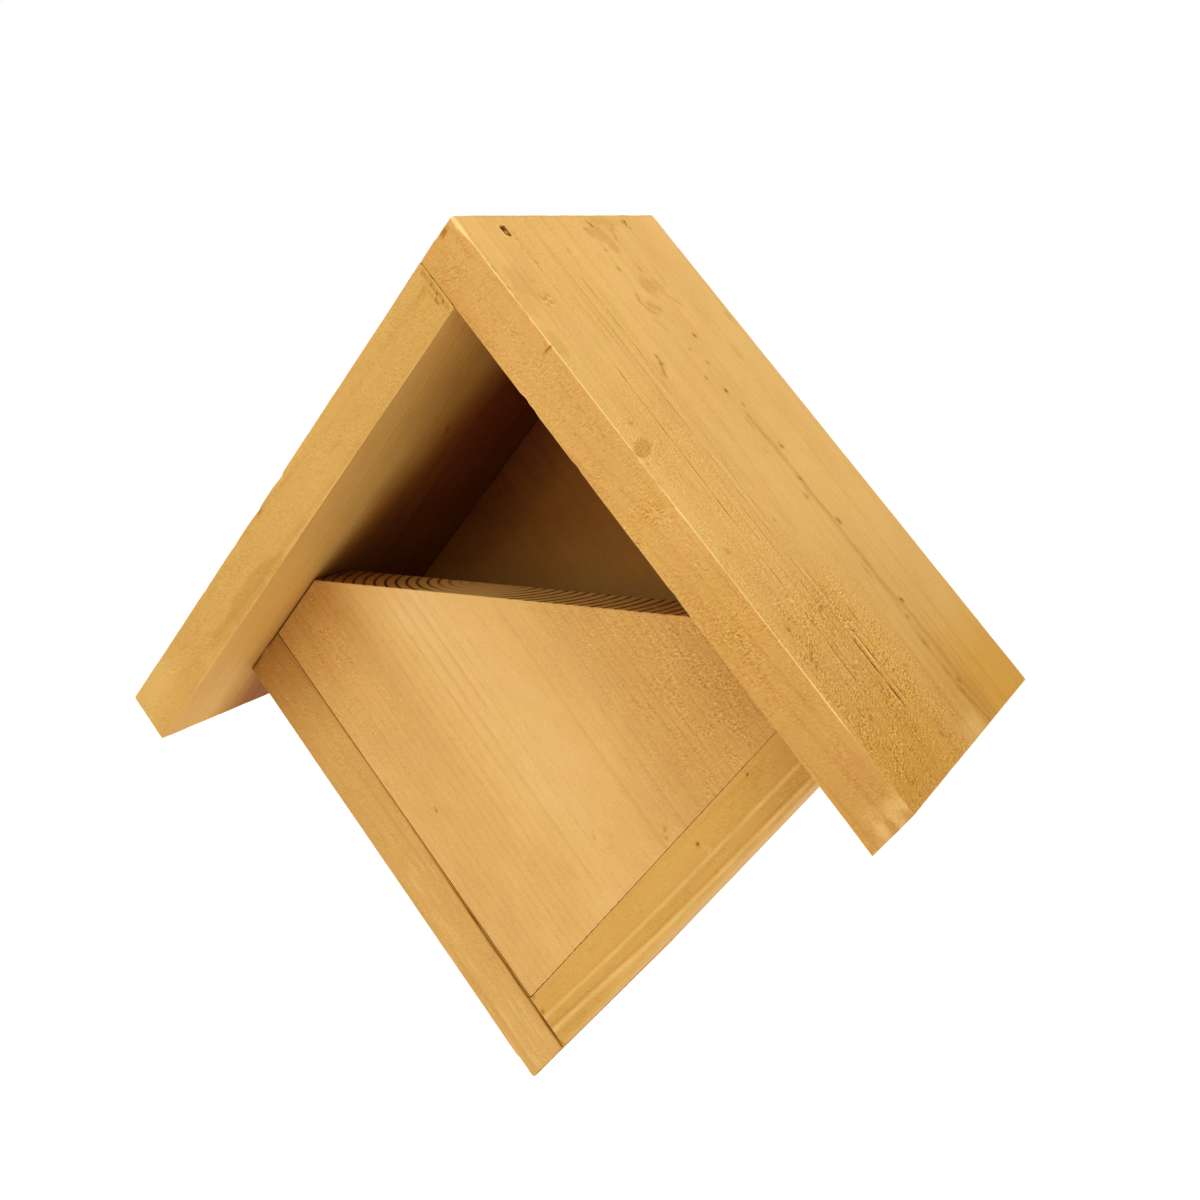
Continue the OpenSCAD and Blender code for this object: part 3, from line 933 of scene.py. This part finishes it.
def side_left_relief(a, w, t, out):
    skin = Skin(planed(a, w, t, 52, 0.05, (0.04, 40, 8), (0.025, 14, 1.5)),
                rubbed(a, w, t, out, 52, 2.4, 0.35, 0.4, 8, 4))
    # Painted shade: the board is darkened towards its top, where the left roof board overhangs it, and is a
    # little lighter at the bottom
    skin.deep = 0.41 * fall(a, 18, 66) + 0.08 * fall(a, 60, 130) - 0.03 * rise(a, 150, 190)
    if out.z > face_tilt:
        brad_pockets(skin, a, w, side_left_pockets)
    if out.y < -edge_tilt:
        skin.coarse = 0.16
        skin.depth += 0.02 * grain_noise(a, w, t, 1.6, 1.2, 61)
        # Stain gathered in the open seams beside the roof board and the panel
        if a < roof_thick + 1.5:
            skin.darken(0.8 * soft(a - roof_thick, 0.7) * (rise(t, 184, 186) + fall(t, 179, 181)))
        if t < inner_face + 2:
            open_seam = 0.25 + 0.75 * rise(a, 90, 150) + 0.3 * grain_noise(a, 0, 0, 9, 1, 63)
            skin.darken(0.90 * open_seam * soft(t - inner_face, 0.3 + 0.65 * rise(a, 90, 160)))
        skin.bare(0.20 * rise(grain_noise(a, 0, t, 12, 1.0, 64), 0.15, 0.5) * rise(a, 80, 130))
    return skin


side_left = board(
    "side_board_left_wood",
    cuts(roof_thick, outer_face, 2.0, at=pocket_cuts([side_middle, *panel_brads], pocket_long, 0.18)),
    cuts(0, box_deep, 2.2, at=pocket_cuts([*side_corner_fronts, *panel_brad_fronts], pocket_wide, 0.14)),
    cuts(inner_face, outer_face, 0.9),
    side_left_put, (down_right, to_wall, in_from_right), side_left_ease, side_left_relief,
    lambda run: 0.02 * run)
side_left.data.materials.append(
    stained_wood("side_left_honey_stain", 3.0, (30.0, 34.0), 3.2, side_tones,
                 edge_tint_and_shade=(0.90, 0.89, 0.955)))
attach(side_left, "root")
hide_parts("side_board_left")

# Lower right board: it stands between the right roof board and the lower left board, held by brads
# driven through the lower left one. Its outer front arris was planed round at the mill, and two mouldings
# run out along its front edge, each as how far down the left slope, and how far out.
inner_moulding = ((18, 184.3), (70, 183.6), (100, 183.2), (130, 182.4), (150, 181.4), (174, 180.2))
outer_moulding = ((18, 190.0), (60, 189.5), (100, 188.9), (115, 188.4), (130, 187.5), (150, 186.2),
                  (174, 184.9))

# A growth ring on the same edge, and dots as on the roof
edge_ring = ((18, 177.0), (60, 175.6), (100, 174.2), (174, 172.0))
side_dots = ((51.6, 175.7, 0.52, 1.0), (81.4, 179.1, 0.75, 0.84), (171.6, 174.0, 0.9, 0.35),
             (172.0, 179.4, 1.1, 0.40), (81.6, 189.2, 0.5, 0.3), (68.5, 175.2, 0.5, 0.25))


def side_right_put(a, w, t):
    return place(t, a, w - box_deep)


def side_right_ease(a, w, t):
    base = 0.4
    if a > inner_face - near_arris or a < roof_thick + near_arris:
        base = 0.28
    if w < near_arris and t > inner_face + near_arris:
        base = 2.3
    radius = arris_radius(a, w, t, base, 71.0)
    return min(radius, 0.3), radius, radius


def side_right_front_edge(skin, a, t):
    """The front edge has dots, a few pale beads, the two mouldings, and a ring. A line's pale side is
    given by how pale, how far aside and how wide it is."""
    skin.coarse = 0.14
    dark_dots(skin, a, t, side_dots, 0.8, 0.7, 0.25)
    if 76 < a < 84:
        beads = 0.5 + 0.9 * grain_noise(a, 0, t, 1, 1.1, 79)
        skin.bare(0.6 * beads * soft(a - 79.8, 0.7) * soft(t - 182.6, 1.4))
    broken = 0.75 + 0.5 * grain_noise(a, 0, 0, 12, 1, 77)
    for line, strength, pale, aside, wide in ((inner_moulding, 0.05, 0.42, 1.0, 0.6),
                                              (outer_moulding, 0.19, 0.50, 1.3, 0.9),
                                              (edge_ring, 0.06, 0.0, 1.0, 1.0)):
        from_line = t - between(a, line)
        skin.darken(strength * broken * soft(from_line, 0.55))
        skin.bare(pale * broken * soft(from_line - aside, wide))
        skin.depth += 0.05 * soft(from_line, 0.5)
    skin.deep -= 0.04 * rise(a, 40, 60)
    skin.deep -= 0.08 * soft(oval(a, t, 84, 177, 24, 6), 1)
    skin.deep -= 0.11 * soft(oval(a, t, 130, 189.5, 16, 3), 1)


def side_right_relief(a, w, t, out):
    skin = Skin(planed(a, w, t, 72, 0.05, (0.04, 42, 8), (0.02, 16, 1.6)),
                rubbed(a, w, t, out, 72, 1.8, 0.35, 0.4, 8, 4))
    skin.deep = 0.12 * fall(a, 18, 60) + 0.05 * soft(a - 164, 12) + 0.05 * fall(a, 60, 80)
    if out.z > face_tilt:
        brad_pockets(skin, a, w, panel_pockets)
    if out.y < -edge_tilt:
        side_right_front_edge(skin, a, t)
    return skin


side_right = board(
    "side_board_right_wood",
    cuts(roof_thick, inner_face, 2.0,
         at=pocket_cuts(panel_brads, pocket_long, 0.18),
         fine=((50, 53, 0.4), (78, 84, 0.5), (168, 173, 0.6))),
    cuts(0, box_deep, 2.2, at=pocket_cuts(panel_brad_fronts, pocket_wide, 0.14)),
    cuts(inner_face, outer_face, 0.45),
    side_right_put, (down_left, to_wall, in_from_left), side_right_ease, side_right_relief,
    lambda run: -0.02 * run)
side_right.data.materials.append(
    stained_wood("side_right_honey_stain", 4.0, (-26.0, 4.0), 5.2, side_tones,
                 edge_tint_and_shade=(0.89, 0.86, 0.76)))
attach(side_right, "root")
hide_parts("side_board_right")

# Front panel: 18 mm board set in between the others below the entrance. Its top was sawn level, across
# the grain, and shows the rings of a board from near the middle of the tree. Its left edges stand open.
panel_seam = 0.3
entrance_reach = 127.5
panel_top = 2 * roof_thick + entrance_reach
panel_left_start = roof_thick + panel_seam
panel_tones = ((0.26, 0.062, 0.009), (0.485, 0.240, 0.049), (0.71, 0.453, 0.172), (0.83, 0.62, 0.338))


def panel_scale(w):
    """How much of its full length the panel has here. It starts at its level top or at the left seam."""
    start = max(panel_left_start, panel_top - w)
    return (inner_face - start) / (inner_face - panel_left_start)


def panel_right(a, w):
    """How far down the right slope a cut of the panel lies."""
    return inner_face - (inner_face - a) * panel_scale(w)


def front_panel_put(a, w, t):
    return place(panel_right(a, w), w, t - box_deep)


def front_panel_ease(a, w, t):
    radius = arris_radius(a, w, t, 0.3, 91.0, 0.12)
    if w > inner_face - near_arris and t < near_arris:
        radius += 0.12 + 0.30 * rise(a, 60, 150)
    top_radius = radius
    if a < panel_left_start + near_arris:
        radius *= 1.3
        if t < near_arris:
            radius += chipped(w, 0.8, ((60.5, 0.7), (49, 0.4), (72, 0.3)))
        top_radius = radius / panel_scale(w)
    return top_radius, radius, radius


# Rings that show on the panel's face: how far down the left slope, where they start and end, how dark
ring_rows = ((111.0, 54, 112, 0.07), (116.2, 46, 112, 0.17), (114.9, 156, 185, 0.10),
             (121.0, 42, 178, 0.14), (125.6, 36, 130, 0.10), (129.0, 50, 84, 0.05),
             (132.5, 40, 176, 0.06), (136.6, 32, 146, 0.06))
panel_dots = ((168.4, 88.0, 0.8, 0.35), (170.6, 89.6, 0.7, 0.35), (169.0, 90.4, 0.5, 0.25),
              (106.1, 159.8, 0.6, 0.58), (153.0, 112.5, 0.6, 0.25))


def panel_face(skin, right, w):
    """The face has a few dots, and rings that lean a little to one side as they run down it."""
    dark_dots(skin, right, w, panel_dots, 0.9, 0.9, 0.15)
    lean = 0.016 * (right - 60) - 0.8 * fall(right, 30, 55)
    for row, start, end, strength in ring_rows:
        from_ring = w - row - lean
        if abs(from_ring) < 1.2:
            kept = strength * stretch(right, start, start + 6, end - 25, end)
            kept *= 0.8 + 0.7 * grain_noise(right, row, 0, 12, 1, 96)
            skin.darken(kept * soft(from_ring, 0.40))


def front_panel_relief(a, w, t, out):
    skin = Skin(planed(a, w, t, 92, 0.03, (0.02, 60, 9), (0.015, 18, 1.6)),
                rubbed(a, w, t, out, 92, 2.4, 0.4, 0.4, 5, 3))
    right = panel_right(a, w)
    skin.coarse = 0.07 + 0.25 * fall(w, 40, 90) + 0.12 * rise(w, 140, 155) * fall(right, 60, 90)
    # Painted shade: the panel is darkened towards the roof boards, whose overhang shades it, most in its
    # corner by the left roof board. It is also darker towards the lower boards and lighter in the middle,
    # with soft darker and lighter patches.
    skin.deep = 0.13 * fall(w, 60, 100) + 0.06 * fall(w, 30, 60) + 0.03 * fall(w, 70, 90)
    skin.deep += 0.31 * fall(right, 18, 62) * rise(w, 110, 150) + 0.04 * rise(right, 125, 160)
    skin.deep += 0.11 * soft(w - 145, 9) * fall(right, 110, 150) + 0.09 * rise(w, 146, 160)
    skin.deep -= 0.06 * soft(w - 118, 14) - 0.04 * rise(right, 140, 168) * soft(w - 98, 16)
    skin.deep += 0.08 * soft(math.hypot(right - 60, w - 140), 14)
    skin.deep -= 0.07 * soft(math.hypot(right - 58, w - 120), 14)
    if out.z < -face_tilt:
        panel_face(skin, right, w)
    # Painted shade on the level top, under the roofs: darkened most towards the left roof board, a little
    # towards the right one, and lightened between them
    if a < panel_left_start + 0.5:
        skin.deep += 0.50 * rise(w, 98, 122) + 0.06 * rise(w, 135, 150) + 0.17 * fall(w, 40, 75) - 0.14
    return skin


front_panel = board(
    "front_panel_wood",
    cuts(panel_left_start, inner_face, 1.8, fine=((104, 108, 0.6), (165, 173, 0.6))),
    cuts(roof_thick, inner_face - panel_seam, 1.7,
         at=[panel_top - panel_left_start], fine=((86, 92, 0.6), (109, 139, 0.42), (158, 161.5, 0.5))),
    cuts(0, panel_thick, 1.0),
    front_panel_put, (down_right, in_from_right, to_wall), front_panel_ease, front_panel_relief,
    lambda run: -0.0187 * run)
front_panel.data.materials.append(
    stained_wood("front_panel_honey_stain", 5.0, (80.4, 19.7), 3.05, panel_tones, rings=0.05, fibres=0.06,
                 bands=0.12, unsteady=0.08, first_ring=0.87,
                 end_tint=(0.97, 0.98, 0.86), ring_colour=(0.085, 0.022, 0.005)))
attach(front_panel, "root")
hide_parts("front_panel")

# Back panel: 18 mm board that closes the box at the wall, set in between the four boards. One hole is
# drilled through it near the ridge, for the screw that the box hangs on.
hole_radius = 2.75
hole_at = ridge_z / (2 * ridge_cos)
# The back panel's tones are redder and darker than the other boards', as painted shade for the dark inside
# of the box; the creep tint brings its wall side back to honey
back_tones = ((0.28, 0.055, 0.005), (0.62, 0.28, 0.045), (0.86, 0.50, 0.125), (0.95, 0.66, 0.25))

# Painted shade on the inner face: darkest beside the left roof board, whose overhang shades it, as how
# far down the right slope, and how dark. It is also darker from the ridge to the middle and painted
# lighter just below the middle: how far down both slopes together, and how dark
back_painted_shade = ((18, 0.74), (20, 0.70), (27, 0.57), (34, 0.44), (41, 0.24), (47, 0.18), (61, 0.13),
              (80, 0.07), (173, 0.05))
lower_painted_shade = ((36, 0.34), (133, 0.32), (153, 0.27), (166, 0.16), (177, 0.0), (188, -0.28), (230, -0.15),
               (347, 0.0))


def back_panel_put(a, w, t):
    """The cuts round the hole are drawn in from a square to a circle."""
    spot = place(a, w, t - panel_thick)
    away = max(abs(a - hole_at), abs(w - hole_at))
    reach = math.hypot(spot.x, spot.z)
    if reach < 1e-6 or away > 4 * hole_radius:
        return spot
    pull = fall(away, hole_radius, 4 * hole_radius)
    factor = 1 + (away * mm / reach - 1) * pull
    return Vector((spot.x * factor, spot.y, spot.z * factor))


def back_panel_ease(a, w, t):
    radius = arris_radius(a, w, t, 0.35, 111.0, 0.12)
    return radius, radius, radius


def back_panel_relief(a, w, t, out):
    skin = Skin(planed(a, w, t, 112, 0.04, (0.03, 60, 9), (0.015, 18, 1.6)),
                rubbed(a, w, t, out, 112, 2.0, 0.3, 0.4, 6, 3))
    away = max(abs(a - hole_at), abs(w - hole_at)) - hole_radius
    skin.darken(0.5 * soft(max(away, 0), 0.5) * (0.7 + 0.5 * grain_noise(a, w, t, 1, 1, 119)))
    skin.depth += 0.25 * soft(max(away, 0), 0.3)
    skin.deep = 0.10
    # Painted shade and light on the inner face, from the two tables
    if out.z < -edge_tilt:
        skin.deep = between(a, back_painted_shade) + between(a + w, lower_painted_shade)
    return skin


hole_sides = [side * part for side in (-1, 1) for part in (0, 0.25, 0.5, 0.75, 1.0)]
hole_cuts = [hole_at + hole_radius * part for part in hole_sides]
hole_cuts += [hole_at + side * (hole_radius + step) for side in (-1, 1) for step in (0.2, 0.5, 1.0)]
back_panel = board(
    "back_panel_wood",
    cuts(roof_thick, inner_face, 2.0, at=hole_cuts),
    cuts(roof_thick, inner_face, 2.0, at=hole_cuts),
    cuts(0, panel_thick, 1.8),
    back_panel_put, (down_right, in_from_right, to_wall), back_panel_ease, back_panel_relief,
    lambda run: -0.02 * run,
    lambda a, w, t: rise(t, 2, panel_thick - 1))

# The hole: the cells over it are taken out of both faces, and its wall is drawn between them
drilled = bmesh.new()
drilled.from_mesh(back_panel.data)
hole_reach = (hole_radius - 0.05) * mm
plugs = []
for face in drilled.faces:
    middle = face.calc_center_median()
    if math.hypot(middle.x, middle.z) < hole_reach:
        plugs.append(face)
bmesh.ops.delete(drilled, geom=plugs, context="FACES")
mouths = [edge for edge in drilled.edges if edge.is_boundary]
wall = bmesh.ops.bridge_loops(drilled, edges=mouths)
for face in wall["faces"]:
    face.smooth = True
long_edges = [edge for edge in drilled.edges if edge.calc_length() > 0.8 * panel_thick * mm]
bmesh.ops.subdivide_edges(drilled, edges=long_edges, cuts=9, use_grid_fill=True)
bmesh.ops.recalc_face_normals(drilled, faces=drilled.faces)
drilled.to_mesh(back_panel.data)
drilled.free()
back_panel.data.materials.append(
    stained_wood("back_panel_honey_stain", 6.0, (96.0, -30.0), 4.4, back_tones, rings=0.03,
                 creep_tint=(0.84, 0.90, 1.12)))
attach(back_panel, "root")
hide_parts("back_panel")

# Brads: wire nails with a flat T-shaped head, shot in by an air gun until the head lies below the face,
# and stained over with the wood.
brad_long = 32.0
brad_wide = 1.6
brad_thick = 1.4
head_wide = 3.4
head_high = 0.8
head_deep = 0.8


def brad_wire():
    """The finish of the brads: dull steel wire, with stain dried on to it."""
    paint = bpy.data.materials.new("stained_wire")
    paint.use_nodes = True
    tree = paint.node_tree
    shader = tree.nodes["Principled BSDF"]
    where = add_node(tree, "TexCoord").outputs["Object"]
    dried = add_node(tree, "TexNoise", {"Vector": where, "Scale": 900.0, "Detail": 3.0}).outputs["Fac"]
    scratch = add_node(tree, "TexNoise", {"Vector": where, "Scale": 3500.0, "Detail": 2.0}).outputs["Fac"]
    colour = add_node(tree, "ValToRGB", {"Fac": dried})
    colour.color_ramp.elements[0].position = 0.35
    colour.color_ramp.elements[0].color = (0.19, 0.105, 0.045, 1)
    colour.color_ramp.elements[1].position = 0.65
    colour.color_ramp.elements[1].color = (0.42, 0.30, 0.17, 1)
    tree.links.new(colour.outputs["Color"], shader.inputs["Base Color"])
    bright = add_node(tree, "MapRange", {"Value": dried, "From Min": 0.4, "From Max": 0.7,
                                         "To Min": 0.2, "To Max": 0.8}).outputs["Result"]
    tree.links.new(bright, shader.inputs["Metallic"])
    dull = add_node(tree, "Math", {0: scratch, 1: 0.3, 2: 0.35}, operation="MULTIPLY_ADD").outputs[0]
    tree.links.new(dull, shader.inputs["Roughness"])
    bump = add_node(tree, "Bump", {"Height": scratch, "Strength": 0.4, "Distance": 0.00005})
    tree.links.new(bump.outputs["Normal"], shader.inputs["Normal"])
    return paint


wire_finish = brad_wire()


def square_bar(shape, pose, rings):
    """A bar of square rings, each (height, width, thickness) in mm, closed at both ends."""
    loops = []
    for height, wide, thick in rings:
        corners = ((-wide, -thick), (wide, -thick), (wide, thick), (-wide, thick))
        loops.append([shape.verts.new(pose @ (Vector((x / 2, y / 2, height)) * mm)) for x, y in corners])
    for one, two in zip(loops, loops[1:]):
        for n in range(4):
            shape.faces.new((one[n], one[(n + 1) % 4], two[(n + 1) % 4], two[n]))
    shape.faces.new(loops[0])
    shape.faces.new(loops[-1])


def brads(name, node, spots):
    """A group of brads. Each spot is a place on the face of the wood and the way that it is turned."""
    shape = bmesh.new()
    neck = -head_deep - head_high
    for right, left, y, degrees in spots:
        pose = Matrix.Translation(place(right, left, y)) @ Matrix.Rotation(math.radians(degrees), 4, "Y")
        square_bar(shape, pose, [(-head_deep, head_wide, brad_thick), (neck, head_wide, brad_thick)])
        square_bar(shape, pose, [(neck + 0.4, brad_wide, brad_thick), (neck - 12, brad_wide, brad_thick),
                                 (neck - brad_long + 2.4, brad_wide, brad_thick),
                                 (neck - brad_long, 0.5, 1.2)])
    bmesh.ops.bevel(shape, geom=list(shape.edges), offset=0.12 * mm, segments=2, affect="EDGES",
                    clamp_overlap=True)
    bmesh.ops.recalc_face_normals(shape, faces=shape.faces)
    for face in shape.faces:
        face.smooth = True
    mesh = bpy.data.meshes.new(name)
    shape.to_mesh(mesh)
    shape.free()
    mesh.materials.append(wire_finish)
    group = bpy.data.objects.new(name, mesh)
    bpy.context.collection.objects.link(group)
    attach(group, "root")
    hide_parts(node)


def panel_spots(y):
    """The brads that go through the two lower boards into a panel's edges."""
    return ([(right, outer_face, y, 180 + half_degrees) for right in panel_brads]
            + [(outer_face, left, y, 180 - half_degrees) for left in panel_brads])


half_degrees = ridge_degrees / 2
front_brads_y, back_brads_y = [front - box_deep for front in panel_brad_fronts]
brads("ridge_brads_wire", "ridge_brads",
      [(ridge_brad_at, 0, front - roof_deep, half_degrees) for front in ridge_brad_fronts])
brads("eaves_brads_wire", "eaves_brads",
      [(0, side_middle, front - roof_deep, -half_degrees) for front in corner_fronts])
brads("bottom_corner_brads_wire", "bottom_corner_brads",
      [(side_middle, outer_face, front - box_deep, 180 + half_degrees) for front in side_corner_fronts])
brads("front_panel_brads_wire", "front_panel_brads", panel_spots(front_brads_y))
brads("back_panel_brads_wire", "back_panel_brads",
      panel_spots(back_brads_y) + [(0, left, back_brads_y, -half_degrees) for left in panel_brads])
